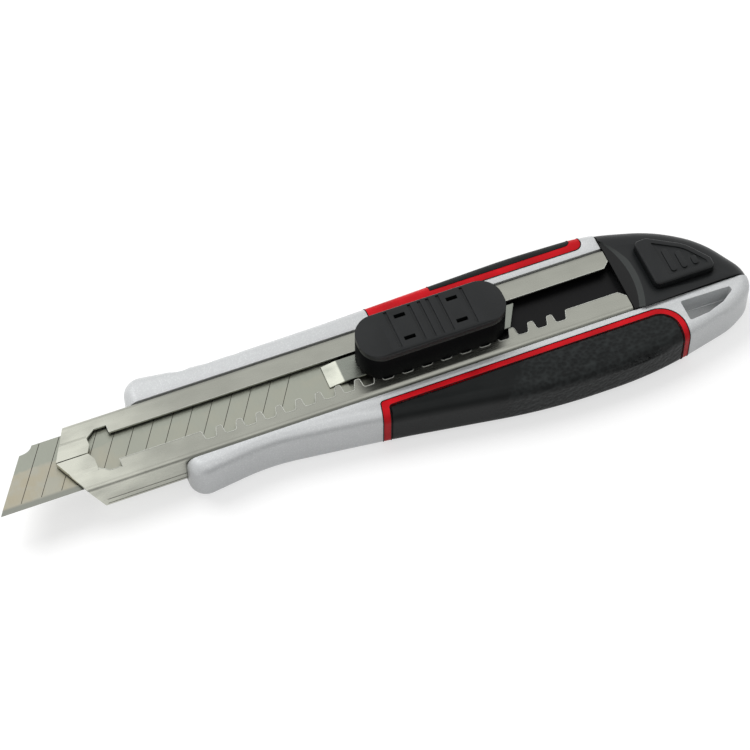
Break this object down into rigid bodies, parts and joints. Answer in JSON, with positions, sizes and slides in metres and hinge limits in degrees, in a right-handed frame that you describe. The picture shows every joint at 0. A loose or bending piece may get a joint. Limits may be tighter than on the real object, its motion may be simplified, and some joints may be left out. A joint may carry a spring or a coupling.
{
  "type": "snap-off utility knife",
  "caption": "Snap-off utility knife: steel blade channel in a cast body with rubber grips, self-locking slider, spare-blade magazine and a pull-off tail cap.",
  "frame": {"origin": "on the flat back, on the blade's centre line, under the middle of the slider at rest", "axes": "+X from the blade tip to the tail, +Y to the blade's spine, +Z out of the slider side"},
  "size_m": [0.2157, 0.0457, 0.025],
  "materials": {
    "painted_casting": "silver metallic paint, satin",
    "channel_steel": "cold-rolled stainless, brushed lengthwise",
    "blade_steel": "ground carbon steel",
    "spring_steel": "spring steel, plain",
    "grip_rubber": "black thermoplastic rubber, satin with a fine grain",
    "red_trim": "red thermoplastic rubber, satin",
    "black_plastic": "black moulded plastic, satin",
    "inner_plastic": "black moulded plastic, plain",
    "screw_steel": "zinc-plated steel"
  },
  "bodies": {
    "handle": {"body_casting": "painted_casting", "blade_channel": "channel_steel", "magazine_tray": "inner_plastic", "magazine_spring": "spring_steel", "spare_blades": "blade_steel", "grip_lower": "grip_rubber", "grip_upper": "grip_rubber", "trim_lower": "red_trim", "trim_upper": "red_trim", "channel_screws": "screw_steel"},
    "carriage": {"blade": "blade_steel", "blade_carrier": "channel_steel"},
    "knob": {"slider_base": "black_plastic", "slider_cover": "black_plastic"},
    "pawl": {"lock_pawl": "spring_steel"},
    "cap": {"end_cap": "black_plastic", "thumb_pad": "black_plastic", "cap_plug": "inner_plastic", "cap_catch": "spring_steel"}
  },
  "joints": [
    {"name": "carriage_slide", "type": "slide", "parent": "handle", "child": "carriage", "axis": [1, 0, 0], "range_m": [-0.0678, 0.0339]},
    {"name": "knob_shift", "type": "slide", "parent": "carriage", "child": "knob", "axis": [-1, 0, 0], "range_m": [0, 0.0012], "stiffness_N_per_m": 1200},
    {"name": "pawl_release", "type": "slide", "parent": "carriage", "child": "pawl", "axis": [0, 0, -1], "range_m": [0, 0.00065]},
    {"name": "cap_pull", "type": "slide", "parent": "handle", "child": "cap", "axis": [1, 0, 0], "range_m": [0, 0.03]}
  ],
  "couplings": [
    {"joint": "pawl_release", "follows": "knob_shift", "ratio": 0.54}
  ]
}
